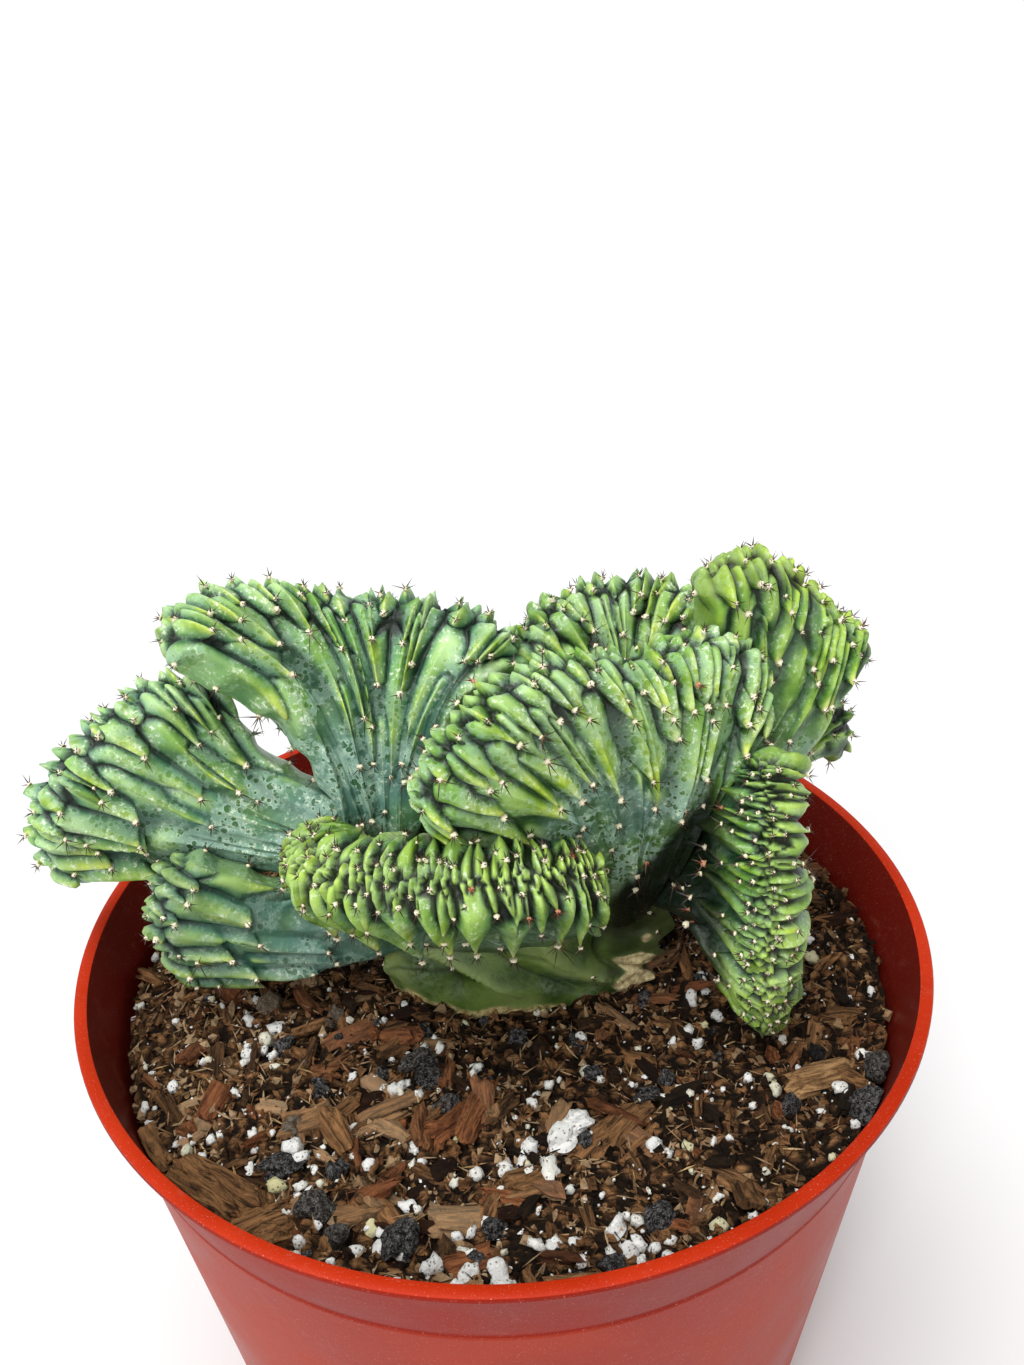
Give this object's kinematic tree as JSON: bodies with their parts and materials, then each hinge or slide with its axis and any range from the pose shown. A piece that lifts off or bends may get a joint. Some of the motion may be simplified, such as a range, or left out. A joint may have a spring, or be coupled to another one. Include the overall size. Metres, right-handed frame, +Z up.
{
  "type": "potted crested cactus",
  "caption": "Crested blue myrtle cactus with wavy, ridged fan-shaped stems and short spines, rooted in bark and perlite soil in a round plastic nursery pot.",
  "frame": {"origin": "centre of the pot's flat underside", "axes": "+Z up out of the pot, -Y towards the front of the plant as pictured, +X to its right"},
  "size_m": [0.2111, 0.206, 0.2667],
  "materials": {
    "cactus": "waxy satin skin",
    "soil": "rough, loose",
    "pot": "satin"
  },
  "bodies": {
    "root": {"pot": "pot", "soil": "soil", "cactus": "cactus"}
  },
  "joints": []
}
